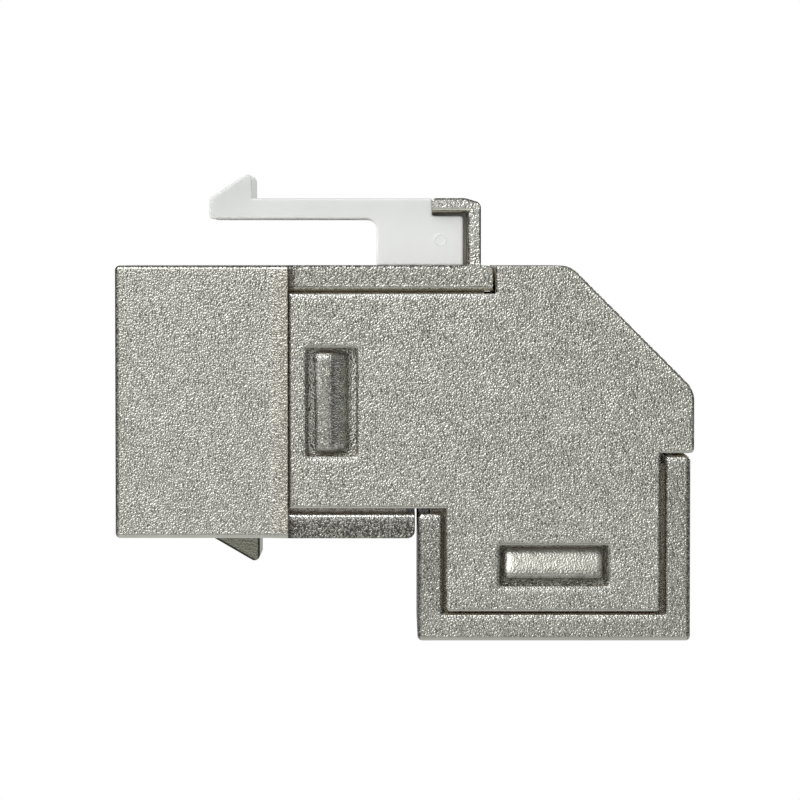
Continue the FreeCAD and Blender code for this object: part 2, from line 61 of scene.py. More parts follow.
# Lamps
LAMP_AIM = (0.017, 0.0, 0.0)
KEY_PLACE = (-0.14, -0.23, 0.23)
KEY_SIZE = (0.32, 0.32)
KEY_POWER = 1.1
BACK_PLACE = (0.26, 0.24, 0.14)
BACK_SIZE = (0.3, 0.2)
BACK_POWER = 0.55
SPOT_PLACE = (-0.25, 0.0, -0.012)
SPOT_AIM = (0.0, 0.0, -0.0015)
SPOT_DEGREES = 3.8
SPOT_POWER = 2.5
SPOT_BLEND = 0.4
SPOT_RADIUS = 0.01

# Glows of the room: directions, the cosines between which each fades in, and strengths
OVER_KEY = (-0.4, -0.6, 0.69)
OVER_KEY_FADE = (0.58, 0.9)
OVER_KEY_STRENGTH = 0.9
OVER_BACK = (0.35, 0.8, 0.45)
OVER_BACK_FADE = (0.6, 0.95)
OVER_BACK_STRENGTH = 0.8
FILL = (0.6, -0.5, 0.62)
FILL_FADE = (0.8, 0.97)
FILL_STRENGTH = 0.3
AHEAD = (0, -1, 0)
FRONT_END = (-1, 0, 0)
REAR_END = (1, 0, 0)
FAINT_FADE = (0.88, 0.97)
FAINT_STRENGTH = 0.35
ROOM_STRENGTH = 0.03

# Release latch, as the side view draws it
LATCH_HALF_WIDTH = 4.1
LATCH_TIP = 5.42
HOOK_BACK = 7.97
HOOK_TOP = 13.68
LATCH_TOP = 12.05
LATCH_LOW = 10.82
FOOT_FRONT = 15.4
FOOT_BACK = 20.57
FOOT_LOW = 8.05
STEP_TOP = 11.0
STEP_FRONT = 18.72
PEG_FRONT = 16.8
PEG_BACK = 18.4
PEG_LOW = 7.15
PEG_HALF_WIDTH = 1.5
RIB_HALF_WIDTH = 3.4
RIB_RISE = 0.18
ROOT = 0.1
STEP_ROUND = 0.2
HOOK_ROUND = 0.3
TIP_ROUND = 0.25
ARM_ROUND = 0.6
CORNER_SEGMENTS = 12
EDGE_ROUND = 0.1
EDGE_SEGMENTS = 3
EDGE_LEAST_TURN = 30
SHARP_TURN = 12
MARK_ALONG = 19.2
MARK_UP = 9.58
MARK_RADIUS = 0.4
MARK_WIDTH = 0.07
MARK_RISE = 0.022
MARK_SEGMENTS = 24
SIDE_FACING = 0.99

# Where the latch bends: the cuts across it
BEND_CUTS = 8
BEND_FIRST_CUT = 12.6
BEND_LAST_CUT = FOOT_FRONT + 0.4

# Noises of the latch's plastic, per millimetre, and where painted light and shade turn it paler and greyer
LATCH_CLOUD_SCALE = 0.35
LATCH_SATIN_SCALE = 9.0
LATCH_PALE_UP = (13.7, 8.0)
LATCH_GREY_ALONG = (9.0, 5.4)

# Noises of the pieces inside, per millimetre
CARRIER_CLOUD_SCALE = 0.8
CARRIER_SATIN_SCALE = 14.0
GOLD_SCALE = 6.0
SPRING_SCALE = 5.0
BOARD_SCALE = 2.2

# Where the castings' finish changes, along, up or aside. A pair is a stretch's two ends. Slopes are degrees
BLOCK_TOP = 8.05
FLARE_ALONG = (9.1, 10.3)
TAN_SHEEN_ALONG = (9.0, 10.0)
OUTER_UP = 7.7
OVER_BLOCK_UP = 8.2
BRACKET_BACK = 21.62
BRACKET_SHOULDER = 11.77
BRACKET_SLOPE = 16.4
CATCH_FRONT = 5.05
CATCH_BACK = 8.35
CATCH_SLOPE = 30.2
CATCH_ALONG = 8.6
CATCH_UP = -8.2
FRONT_WINDOW_ALONG = (11.1, 14.5)
FRONT_WINDOW_TOP = 3.4
LOWER_WINDOW_ALONG = (22.4, 29.4)
LOWER_WINDOW_UP = (-11.0, -8.1)
WINDOW_FLOOR_ASIDE = 6.72
WINDOW_FLOOR_ALONG = 12.1
FRONT_LUG_ALONG = (11.7, 14.0)
FRONT_LUG_TOP = 3.0
LOWER_LUG_ALONG = (22.9, 28.9)
LOWER_LUG_UP = (-10.5, -8.6)
LUG_ASIDE = (6.75, 7.5)
LUG_GLINT_ALONG = 11.95
LUG_GLINT_UP = (-0.2, 1.6)
RAMP_ALONG = 13.0
FRONT_GAPS = ((11.2, 11.4), (14.2, 14.34))
FRONT_GAP_TOP = 3.15
LOWER_GAPS = ((22.68, 22.92), (28.82, 29.04))
LOWER_GAP_UP = (-10.75, -8.46)
ARM_ASIDE = 7.25
HIGH_ARM_ALONG = (10.3, 20.7)
HIGH_ARM_UP = (6.5, 8.1)
HIGH_LIP_UP = (6.78, 6.9)
HIGH_LIP_ALONG = (10.3, 16.0)
CREST_UP = (BLOCK_TOP - 0.22, BLOCK_TOP - 0.1)
ARM_RIM_UP = (BLOCK_TOP - 0.07, BLOCK_TOP)
LOW_ARM_ALONG = (10.25, 17.7)
LOW_ARM_UP = -6.6
LOW_CREST_UP = (-6.8, -6.68)
LOW_END_FRONT = 10.6
LOW_END_BACK = 17.6
ARM_ROOT_ALONG = (10.2, 10.35)
ARM_ROOT_LEVEL = 6.6
WALL_ASIDE = 7.47
WALL_UP = (-12.4, -3.1)
LEFT_WALL_ALONG = (17.75, 19.4)
RIGHT_WALL_ALONG = 32.25
LOW_BAND_ALONG = 17.75
LOW_BAND_UP = -12.5

# Widths over which a finish fades
SHARP = 0.02
FINE = 0.03
CRISP = 0.05
SOFT = 0.1
WIDE = 0.2

# Noises of the castings, per millimetre, and the stretches of the grain that single marks of painted shade,
# highlight and dark reflection take up
GRAIN_SCALE = 9.5
WEAR_SCALE = 0.55
BLOTCH_SCALE = 2.4
SPECK_SCALE = 4.5
PIT_GRAIN = (0.5, 0.3)
OUTLINE_GRAIN = (0.62, 0.42)
SHADED_GRAIN = (0.54, 0.42)
CREST_GRAIN = (0.45, 0.6)
RIM_GRAIN = (0.65, 0.45)
GAP_GRAIN = (0.7, 0.4)

# Strengths, from 0 to 1, of what lies on the castings: smoothness, painted light and shade, grime and random
# mottling
CATCH_SMOOTH = 0.85
BRACKET_SMOOTH = 0.45
OLIVE_SHADE_STRENGTH = 0.7
BROWN_SHADE_STRENGTH = 0.6
BRACKET_BRIGHT = 0.95
LEFT_WALL_SHADE = 0.3
RIGHT_WALL_SHADE = 0.15
LOW_BAND_SHADE = 0.14
HIGH_ARM_SHADE = 0.16
LOW_ARM_SHADE = 0.43
ARM_ROOT_SHADE = 0.8
LOWER_LUG_SHADE = 0.12
MOTTLE_STRENGTH = 0.4
SILL_HIGHLIGHT = 0.75
CREST_HIGHLIGHT = 0.8
LIP_HIGHLIGHT = 0.6
PIT_STRENGTH = 0.7
RIM_STRENGTH = 0.9
GRIME_AND_SHADE_STRENGTH = 0.9
GAP_STRENGTH = 0.55

# Relief of the castings
EDGE_REACH = 0.9
EDGE_EASE = 0.15
WINDOW_EASE = 0.4
GRIME_AND_SHADE_REACH = 0.5
GRAIN_DEPTH = 0.09
WEAR_DEPTH = 0.02


class Signal:
    """A node's output that takes part in arithmetic: each operation adds one Math node."""

    def __init__(self, nodes, socket):
        self.nodes = nodes
        self.socket = socket

    def math(self, operation, *values):
        return self.nodes.add("ShaderNodeMath", {"operation": operation}, dict(enumerate(values)))

    def __add__(self, other):
        return self.math("ADD", self, other)

    def __radd__(self, other):
        return self.math("ADD", other, self)

    def __sub__(self, other):
        return self.math("SUBTRACT", self, other)

    def __rsub__(self, other):
        return self.math("SUBTRACT", other, self)

    def __mul__(self, other):
        return self.math("MULTIPLY", self, other)

    def __rmul__(self, other):
        return self.math("MULTIPLY", other, self)

    def __pow__(self, other):
        return self.math("POWER", self, other)

    def __abs__(self):
        return self.math("ABSOLUTE", self)

    def least(self, other):
        return self.math("MINIMUM", self, other)

    def most(self, other):
        return self.math("MAXIMUM", self, other)

    def rise(self, start, end):
        """0 at start and before it, 1 at end and past it, with a smooth step between them."""
        settings = {"interpolation_type": "SMOOTHSTEP"}
        return self.nodes.add("ShaderNodeMapRange", settings, {0: self, 1: start, 2: end})

    def above(self, level, soft):
        """1 above level, fading to 0 over soft below it."""
        return self.rise(level - soft, level)

    def below(self, level, soft):
        """1 below level, fading to 0 over soft above it."""
        return self.rise(level + soft, level)

    def within(self, low, high, soft):
        """1 between low and high, fading to 0 over soft outside."""
        return self.above(low, soft) * (1 - self.rise(high, high + soft))


def strongest(*signals):
    """The greatest of several signals."""
    return functools.reduce(Signal.most, signals)


class Nodes:
    """A node tree, with one way to add any node."""

    def __init__(self, tree):
        self.tree = tree

    def add(self, kind, settings=None, sockets=None, output=0):
        node = self.tree.nodes.new(kind)
        for name, value in (settings or {}).items():
            setattr(node, name, value)
        for key, value in (sockets or {}).items():
            self.feed(node.inputs[key], value)
        return Signal(self, node.outputs[output])

    def feed(self, socket, value):
        if isinstance(value, Signal):
            self.tree.links.new(value.socket, socket)
        else:
            socket.default_value = value

    def mix(self, factor, first, second):
        """A colour between two colours."""
        sockets = {0: factor, 6: first, 7: second}
        return self.add("ShaderNodeMix", {"data_type": "RGBA"}, sockets, 2)

    def position(self):
        """Object coordinates in millimetres."""
        metres = self.add("ShaderNodeTexCoord", output="Object")
        scaling = {"operation": "SCALE"}
        return self.add("ShaderNodeVectorMath", scaling, {0: metres, "Scale": 1 / MM})

    def parts(self, vector):
        return [self.add("ShaderNodeSeparateXYZ", None, {0: vector}, axis) for axis in "XYZ"]

    def surface_normal(self):
        return self.add("ShaderNodeTexCoord", output="Normal")

    def eased(self, radius):
        """The normal of a surface whose sharp edges are eased by a radius in millimetres."""
        return self.add("ShaderNodeBevel", {"samples": 6}, {"Radius": radius * MM})

    def seen_by(self, kind):
        """1 for rays of one kind: Camera, Glossy or Transmission."""
        return self.add("ShaderNodeLightPath", output=f"Is {kind} Ray")

    def noise(self, vector, scale, detail=2.0, roughness=0.5):
        sockets = {"Vector": vector, "Scale": scale, "Detail": detail, "Roughness": roughness}
        return self.add("ShaderNodeTexNoise", None, sockets)

    def bump(self, height, depth, under=None):
        """A normal from a height of 0 to 1 that is depth millimetres tall."""
        sockets = {"Height": height, "Distance": depth * MM, "Strength": 1.0}
        if under is not None:
            sockets["Normal"] = under
        return self.add("ShaderNodeBump", None, sockets)


def colour(red, green, blue):
    return (red, green, blue, 1.0)


def grey(value):
    return colour(value, value, value)


DULL_PLATE = colour(0.40, 0.40, 0.358)
CLEAN_PLATE = colour(0.45, 0.45, 0.403)
# Painted light and shade on the castings, and brown grime with painted shade in their seams; the mottled
# plate is a random tone
TAN_SHEEN_PLATE = colour(0.36, 0.315, 0.27)
OLIVE_SHADE_PLATE = colour(0.23, 0.23, 0.173)
BROWN_SHADE_PLATE = colour(0.24, 0.2, 0.12)
PAINTED_LIGHT_PLATE = colour(0.66, 0.66, 0.61)
SHADED_PLATE = colour(0.07, 0.068, 0.06)
SHADED_GRAIN_PLATE = colour(0.02, 0.02, 0.016)
MOTTLED_PLATE = colour(0.12, 0.12, 0.105)
PAINTED_HIGHLIGHT = colour(0.82, 0.82, 0.78)
PIT_SHADE = colour(0.10, 0.10, 0.09)
RIM_DARK_REFLECTION = colour(0.02, 0.02, 0.017)
SEAM_GRIME_AND_SHADE = colour(0.42, 0.34, 0.23)
GAP_SHADE = colour(0.03, 0.028, 0.02)
# The latch's painted shade high up, on top and at the tip, and its painted light low and underneath
LATCH_HIGH_SHADE = colour(0.64, 0.65, 0.64)
LATCH_LOW_LIGHT = colour(0.87, 0.88, 0.87)
LATCH_GREY_SHADE = colour(0.5, 0.51, 0.5)
LATCH_UNDER_LIGHT = grey(0.95)
CARRIER_DARK = grey(0.09)
CARRIER_LIGHT = grey(0.12)
GOLD_DARK = colour(0.86, 0.60, 0.24)
GOLD_LIGHT = colour(0.95, 0.71, 0.33)
SPRING_DARK = colour(0.56, 0.55, 0.53)
SPRING_LIGHT = colour(0.68, 0.67, 0.65)
BOARD_DARK = colour(0.012, 0.075, 0.03)
BOARD_LIGHT = colour(0.02, 0.12, 0.05)
PAPER = grey(0.8)
WHITE = grey(1.0)


class Finish(Nodes):
    """A material with one principled shader."""

    def __init__(self, name):
        self.material = bpy.data.materials.new(name)
        self.material.use_nodes = True
        super().__init__(self.material.node_tree)
        self.shader = self.tree.nodes["Principled BSDF"]

    def give(self, **sockets):
        """Feeds the shader: base_color is its Base Color, and so on."""
        for name, value in sockets.items():
            words = " ".join(word.capitalize() for word in name.split("_"))
            self.feed(self.shader.inputs[words], value)
        return self.material


class PlatedZinc(Finish):
    """Nickel-plated die casting: grainy from the mould on flat faces, polished where edges are rounded.

    The find methods tell places apart. Each layer takes the colour so far and adds one thing to it, and most
    layers paint light or shade into it.
    """

    def __init__(self):
        super().__init__("plated_zinc")
        self.place = self.position()
        self.along, across, self.up = self.parts(self.place)
        self.aside = abs(across)
        self.level = abs(self.up)
        self.normal = self.surface_normal()
        self.rearward, sideways, self.upward = self.parts(self.normal)
        self.sideways = abs(sideways)
        self.side_face = self.sideways.rise(0.8, 0.9)
        self.grain = self.noise(self.place, GRAIN_SCALE, detail=1.0)
        self.worn = self.noise(self.place, WEAR_SCALE, detail=3.0, roughness=0.6)
        self.find_lugs()
        self.find_arms()
        self.find_smooth()
        self.find_flat()
        self.find_grime_and_shade()

    def find_lugs(self):
        """The cover's snap windows, and the lugs that stand in them."""
        along, up = self.along, self.up
        front_window = along.within(*FRONT_WINDOW_ALONG, CRISP) * self.level.below(FRONT_WINDOW_TOP, SOFT)
        lower_window = along.within(*LOWER_WINDOW_ALONG, CRISP) * up.within(*LOWER_WINDOW_UP, CRISP)
        self.windows = front_window.most(lower_window)
        floor = self.aside.below(WINDOW_FLOOR_ASIDE, FINE) * along.below(WINDOW_FLOOR_ALONG, SOFT)
        self.window_floor = front_window * floor
        self.front_lug = along.within(*FRONT_LUG_ALONG, CRISP) * self.level.below(FRONT_LUG_TOP, SOFT)
        self.lower_lug = along.within(*LOWER_LUG_ALONG, CRISP) * up.within(*LOWER_LUG_UP, CRISP)
        self.lug = self.front_lug.most(self.lower_lug) * self.aside.within(*LUG_ASIDE, SHARP)
        # A glint painted on the upper front corner of the front lug, which is also rougher
        speck = self.noise(self.place, SPECK_SCALE, detail=3.0, roughness=0.7).rise(0.45, 0.55)
        corner = along.below(LUG_GLINT_ALONG, 0.3) * up.rise(*LUG_GLINT_UP)
        self.lug_glint = self.lug * self.front_lug * corner * speck

    def find_arms(self):
        """The front casting's two arms, which run back over and under the elbow."""
        along, up = self.along, self.up
        inside = self.aside.below(ARM_ASIDE, CRISP)
        self.arm_top = along.within(*HIGH_ARM_ALONG, SHARP) * inside
        self.high_arm = self.arm_top * up.within(*HIGH_ARM_UP, CRISP)
        self.low_arm = along.within(*LOW_ARM_ALONG, SHARP) * up.below(LOW_ARM_UP, SOFT) * inside
        root = along.within(*ARM_ROOT_ALONG, 0.5) * self.level.above(ARM_ROOT_LEVEL, SOFT)
        self.arm_root = root * inside

    def find_smooth(self):
        """Lugs, catch and bracket, which are smoother than the rest."""
        self.catch = self.along.below(CATCH_ALONG, 0.4) * self.up.below(CATCH_UP, 0.12)
        self.over_block = self.up.above(OVER_BLOCK_UP, SOFT)
        self.bracket = self.over_block * self.side_face
        lugs = self.lug * (0.5 + self.lower_lug * 0.2)
        self.smooth = strongest(lugs, self.catch * CATCH_SMOOTH, self.bracket * BRACKET_SMOOTH)

    def find_flat(self):
        """Flat faces, square or at 45 degrees, and the rounded edges between them."""
        ahead, above = abs(self.rearward), abs(self.upward)
        self.flare = self.along.within(*FLARE_ALONG, WIDE) * self.sideways.rise(0.93, 0.96)
        square = strongest(ahead, self.sideways, above, (ahead + above) * math.sqrt(0.5))
        self.flat = square.rise(0.965, 0.995).most(self.flare)
        self.outer = self.up.above(OUTER_UP, WIDE)
        turning = ahead.rise(0.2, 0.5).most(self.upward.rise(0.6, 0.75) * self.outer)
        self.rounded = (1 - self.flat) * (1 - self.lug) * turning

    def find_grime_and_shade(self):
        """Brown grime and painted shade in narrow seams and corners, where little light reaches."""
        reach = {"Distance": GRIME_AND_SHADE_REACH * MM}
        opened = self.add("ShaderNodeAmbientOcclusion", {"samples": 8}, reach, "AO")
        self.grime_and_shade = opened.rise(0.55, 0.15) * GRIME_AND_SHADE_STRENGTH

    def plate(self):
        """Even plating with faint clouds."""
        return self.mix(self.worn.rise(0.35, 0.7), DULL_PLATE, CLEAN_PLATE)

    def paint_tinted_light(self, base):
        """Painted tinted light: a tan sheen on the block's flared rear edge, olive shade on the catch under
        the block and brown shade inside the bracket.
        """
        tan_sheen = self.along.rise(*TAN_SHEEN_ALONG) * self.flare * (0.35 + self.worn * 0.45)
        tanned = self.mix(tan_sheen, base, TAN_SHEEN_PLATE)
        # Painted olive shade on the catch, which lies under the block
        olive = self.mix(self.catch * OLIVE_SHADE_STRENGTH, tanned, OLIVE_SHADE_PLATE)
        # Painted brown shade on the faces inside the bracket that look towards the front or down
        inward = self.rearward.rise(-0.5, -0.8).most(self.upward.rise(-0.5, -0.8))
        return self.mix(self.over_block * inward * BROWN_SHADE_STRENGTH, olive, BROWN_SHADE_PLATE)

    def brighten(self, base):
        """Painted light: the bracket's side, a glint on the front lug's corner, that lug's ramp and the floor
        of its window are lighter.
        """
        ramp = self.lug * self.front_lug * self.along.above(RAMP_ALONG, SOFT)
        lighter = strongest(self.bracket * BRACKET_BRIGHT, self.window_floor, self.lug_glint, ramp)
        return self.mix(lighter, base, PAINTED_LIGHT_PLATE)

    def shade(self, base):
        """Painted shade: the lower casting's walls, the arms, most at their roots by the block's step, and
        the lower lug are darker.
        """
        upright = self.up.within(*WALL_UP, WIDE)
        left_wall = self.along.within(*LEFT_WALL_ALONG, CRISP) * upright * LEFT_WALL_SHADE
        right_wall = self.along.above(RIGHT_WALL_ALONG, CRISP) * upright * RIGHT_WALL_SHADE
        low_band = self.along.above(LOW_BAND_ALONG, CRISP) * self.up.below(LOW_BAND_UP, WIDE) * LOW_BAND_SHADE
        walls = strongest(left_wall, right_wall, low_band) * self.aside.below(WALL_ASIDE, 0.06)
        high_arm = self.high_arm * HIGH_ARM_SHADE
        low_arm = self.low_arm * LOW_ARM_SHADE
        arm_root = self.arm_root * ARM_ROOT_SHADE
        lower_lug = self.lug * self.lower_lug * LOWER_LUG_SHADE
        return self.mix(strongest(walls, high_arm, low_arm, arm_root, lower_lug), base, SHADED_PLATE)

    def shade_grain_and_mottle(self, base):
        """Painted shade on the lower arm's grain, most at its ends, and random dark blotches on the lugs."""
        ends = self.along.below(LOW_END_FRONT, 0.8).most(self.along.above(LOW_END_BACK, 0.7))
        on_arm = self.low_arm * self.grain.rise(*SHADED_GRAIN) * (0.8 + ends * 0.2)
        grain_shaded = self.mix(on_arm, base, SHADED_GRAIN_PLATE)
        blotch = self.noise(self.place, BLOTCH_SCALE, roughness=0.6).rise(0.5, 0.35)
        return self.mix(self.lug * blotch * MOTTLE_STRENGTH, grain_shaded, MOTTLED_PLATE)

    def paint_highlights(self, base):
        """Painted highlights on edges that look up: sills of the windows and seams, and edges of the arms."""
        eased = self.eased(EDGE_REACH)
        eased_up = self.parts(eased)[2]
        sockets = {0: eased, 1: self.normal}
        apart = self.add("ShaderNodeVectorMath", {"operation": "DISTANCE"}, sockets, "Value")
        sill = apart.rise(0.18, 0.42) * eased_up.rise(0.2, 0.4) * (1 - self.outer) * SILL_HIGHLIGHT
        crest = self.arm_top * self.up.within(*CREST_UP, FINE) * self.grain.rise(*CREST_GRAIN) * CREST_HIGHLIGHT
        low_crest = self.low_arm * self.up.within(*LOW_CREST_UP, 0.04) * CREST_HIGHLIGHT
        fading = self.along.rise(*HIGH_LIP_ALONG) * LIP_HIGHLIGHT
        lip = self.high_arm * self.up.within(*HIGH_LIP_UP, FINE) * fading
        return self.mix(strongest(sill, crest, low_crest, lip), base, PAINTED_HIGHLIGHT)

    def pit(self, base):
        """Painted shade in the pits between the grains of flat faces, and painted dark reflections in the
        grain along rounded edges.
        """
        pits = self.grain.rise(*PIT_GRAIN) * self.flat * (1 - self.smooth) * PIT_STRENGTH
        outline = self.rounded * (1 - self.windows) * self.grain.rise(*OUTLINE_GRAIN)
        return self.mix(pits.most(outline), base, PIT_SHADE)

    def rim(self, base):
        """Painted dark reflections along the edges of the bracket, the catch and the upper arm."""
        slope = math.radians(BRACKET_SLOPE)
        to_back = BRACKET_BACK - self.along
        to_slope = to_back * math.sin(slope) + (BRACKET_SHOULDER - self.up) * math.cos(slope)
        to_outside = to_back.least(LATCH_TOP - self.up).least(to_slope)
        bracket_rim = self.bracket * to_outside.below(0.06, 0.07) * self.worn.rise(0.3, 0.45)
        slope = math.radians(CATCH_SLOPE)
        to_front = (self.along - CATCH_FRONT) * math.sin(slope) + (self.up + BLOCK_TOP) * math.cos(slope)
        catch_rim = self.catch * (CATCH_BACK - self.along).least(to_front).below(0.08, 0.08)
        arm_rim = self.arm_top * self.up.within(*ARM_RIM_UP, FINE) * self.grain.rise(*RIM_GRAIN)
        rims = strongest(bracket_rim, catch_rim, arm_rim) * self.side_face
        return self.mix(rims * RIM_STRENGTH, base, RIM_DARK_REFLECTION)

    def add_grime_and_shade(self, base):
        """Brown grime and painted shade in the seams, and painted shade in the gaps at both ends of each lug.
        """
        grimed_and_shaded = self.mix(self.grime_and_shade, base, SEAM_GRIME_AND_SHADE)
        front = strongest(*(self.along.within(*gap, FINE) for gap in FRONT_GAPS))
        lower = strongest(*(self.along.within(*gap, FINE) for gap in LOWER_GAPS))
        front_gaps = front * self.level.below(FRONT_GAP_TOP, SOFT) * self.grain.rise(*GAP_GRAIN)
        gaps = front_gaps.most(lower * self.up.within(*LOWER_GAP_UP, FINE))
        return self.mix(gaps * GAP_STRENGTH, grimed_and_shaded, GAP_SHADE)

    def relief(self):
        """Grain of the mould on flat faces, little on rounded ones, least on those that look down."""
        under = self.bump(self.worn, WEAR_DEPTH, self.eased(EDGE_EASE + self.windows * WINDOW_EASE))
        lip = self.upward.rise(-0.05, -0.3)
        rough_cast = self.flat.most(0.3 - lip * 0.3) * (1 - self.smooth)
        return self.bump(self.grain * (0.16 + rough_cast * 0.84), GRAIN_DEPTH, under)

    def dullness(self):
        """Roughness: low on polished metal, higher on the smooth places, on the front lug's painted glint and
        in the seams' grime and shade.
        """
        polish = 0.09 + self.grain * 0.06 + self.worn * 0.06
        return polish + self.smooth * 0.12 + self.lug_glint * 0.3 + self.grime_and_shade * 0.5


def plated_zinc():
    finish = PlatedZinc()
    base = finish.plate()
    first_layers = (finish.paint_tinted_light, finish.brighten, finish.shade, finish.shade_grain_and_mottle)
    last_layers = (finish.paint_highlights, finish.pit, finish.rim, finish.add_grime_and_shade)
    for layer in first_layers + last_layers:
        base = layer(base)
    finish.give(base_color=base, metallic=1 - finish.grime_and_shade)
    return finish.give(roughness=finish.dullness(), normal=finish.relief())


def latch_plastic():
    """Natural white moulding, faintly satin, with painted light and shade: paler low towards the foot and on
    faces that look down, greyer high up, on faces that look up and at the tip.
    """
    finish = Finish("latch_plastic")
    place = finish.position()
    along, _, up = finish.parts(place)
    upward = finish.parts(finish.surface_normal())[2]
    cloud = finish.noise(place, LATCH_CLOUD_SCALE)
    satin = finish.noise(place, LATCH_SATIN_SCALE, roughness=0.6)
    depth = up.rise(*LATCH_PALE_UP) + (cloud - 0.5) * 0.15
    side = finish.mix(depth, LATCH_HIGH_SHADE, LATCH_LOW_LIGHT)
    tipped = finish.mix(along.rise(*LATCH_GREY_ALONG) * 0.2, side, LATCH_GREY_SHADE)
    topped = finish.mix(upward.rise(0.2, 0.8) * 0.7, tipped, LATCH_GREY_SHADE)
    base = finish.mix(upward.rise(-0.1, -0.6) * 0.8, topped, LATCH_UNDER_LIGHT)
    finish.give(subsurface_weight=0.5, subsurface_scale=0.6 * MM, subsurface_radius=(1.0, 1.0, 1.0))
    return finish.give(base_color=base, roughness=0.36 + satin * 0.1, normal=finish.bump(satin, 0.002))


def carrier_plastic():
    """Dark moulding with a fine satin grain."""
    finish = Finish("carrier_plastic")
    place = finish.position()
    cloud = finish.noise(place, CARRIER_CLOUD_SCALE)
    satin = finish.noise(place, CARRIER_SATIN_SCALE, roughness=0.6)
    base = finish.mix(cloud.rise(0.3, 0.7), CARRIER_DARK, CARRIER_LIGHT)
    return finish.give(base_color=base, roughness=0.38 + satin * 0.16, normal=finish.bump(satin, 0.006))


def drawn_metal(name, scale, dark, light, polish, marks):
    """Metal strip with faint marks from drawing: its roughness is polish, plus up to marks."""
    finish = Finish(name)
    drawn = finish.noise(finish.position(), scale, detail=3.0, roughness=0.6)
    base = finish.mix(drawn.rise(0.3, 0.7), dark, light)
    finish.give(base_color=base, metallic=1.0)
    return finish.give(roughness=polish + drawn * marks, normal=finish.bump(drawn, 0.004))


def circuit_board():
    """Green laminate with a faint weave."""
    finish = Finish("circuit_board")
    weave = finish.noise(finish.position(), BOARD_SCALE)
    base = finish.mix(weave.rise(0.35, 0.65), BOARD_DARK, BOARD_LIGHT)
    return finish.give(base_color=base, roughness=0.3 + weave * 0.1, normal=finish.bump(weave, 0.01))


def put_finish(piece, material):
    piece.data.materials.clear()
    piece.data.materials.append(material)


def round_corner(shape, vertex, radius):
    """Rounds one corner of a flat outline: the cut starts a tangent's length from the corner."""
    first, second = ((edge.other_vert(vertex).co - vertex.co) for edge in vertex.link_edges)
    cut = radius / math.tan(first.angle(second) / 2)
    bmesh.ops.bevel(
        shape,
        geom=[vertex],
        offset=cut,
        offset_type="OFFSET",
        affect="VERTICES",
        segments=CORNER_SEGMENTS,
        profile=0.5,
        material=-1,
    )


def outline_block(shape, corners, half_width):
    """A block across the width from corners in the side view: along, up and the corner's radius, in mm."""
    vertices = [shape.verts.new((x * MM, -half_width * MM, z * MM)) for x, z, radius in corners]
    shape.faces.new(vertices)
    for vertex, (x, z, radius) in zip(vertices, corners):
        if radius:
            round_corner(shape, vertex, radius * MM)
    grown = bmesh.ops.extrude_face_region(shape, geom=shape.faces[:], use_keep_orig=True)
    far_side = [part for part in grown["geom"] if isinstance(part, bmesh.types.BMVert)]
    bmesh.ops.translate(shape, vec=(0, 2 * half_width * MM, 0), verts=far_side)
    bmesh.ops.recalc_face_normals(shape, faces=shape.faces[:])


def soften_edges(shape, radius, segments, least_turn):
    """Rounds every edge of a shape that turns by more than least_turn degrees."""
    sharp = [edge for edge in shape.edges if edge.calc_face_angle(0) > math.radians(least_turn)]
    bmesh.ops.bevel(
        shape,
        geom=sharp,
        offset=radius * MM,
        offset_type="OFFSET",
        affect="EDGES",
        segments=segments,
        profile=0.5,
        material=-1,
        clamp_overlap=True,
    )


def add_block(shape, low, high):
    """A plain block between two corners in millimetres."""
    low, high = Vector(low), Vector(high)
    corners = bmesh.ops.create_cube(shape, size=1)["verts"]
    bmesh.ops.scale(shape, vec=(high - low) * MM, verts=corners)
    bmesh.ops.translate(shape, vec=(low + high) / 2 * MM, verts=corners)


def raise_mark(shape, centre, radius, width, rise):
    """A low ring on the near side, in millimetres: its rim is cut into the face and inset up, then down."""
    centre = Vector(centre) * MM
    near = [face for face in shape.faces if face.normal.y < -SIDE_FACING]
    side = next(face for face in near if bmesh.geometry.intersect_face_point(face, centre))
    border = side.edges[:]
    bmesh.ops.delete(shape, geom=[side], context="FACES_ONLY")
    upright = Matrix.Translation(centre) @ Matrix.Rotation(math.pi / 2, 4, "X")
    circle = {"segments": MARK_SEGMENTS, "radius": radius * MM, "matrix": upright}
    ring = bmesh.ops.create_circle(shape, **circle)["verts"]
    rim = list({edge for vertex in ring for edge in vertex.link_edges})
    bmesh.ops.triangle_fill(shape, edges=border + rim, use_beauty=True)
    disc = bmesh.ops.contextual_create(shape, geom=rim)["faces"]
    bmesh.ops.recalc_face_normals(shape, faces=shape.faces[:])
    for depth in (rise, -rise):
        bmesh.ops.inset_region(shape, faces=disc, thickness=width * MM, depth=depth * MM)


def finished_piece(name, shape, material):
    """An object at the origin from a bmesh, smooth-shaded except at sharp turns."""
    mesh = bpy.data.meshes.new(name)
    shape.to_mesh(mesh)
    shape.free()
    piece = bpy.data.objects.new(name, mesh)
    bpy.context.scene.collection.objects.link(piece)
    mesh.shade_smooth()
    mesh.set_sharp_from_angle(angle=math.radians(SHARP_TURN))
    put_finish(piece, material)
    return piece


def cut_for_bending(shape):
    """Cuts the latch across where it bends."""
    for number in range(BEND_CUTS + 1):
        x = BEND_FIRST_CUT + (BEND_LAST_CUT - BEND_FIRST_CUT) * number / BEND_CUTS
        geometry = shape.verts[:] + shape.edges[:] + shape.faces[:]
        bmesh.ops.bisect_plane(shape, geom=geometry, plane_co=(x * MM, 0, 0), plane_no=(1, 0, 0))


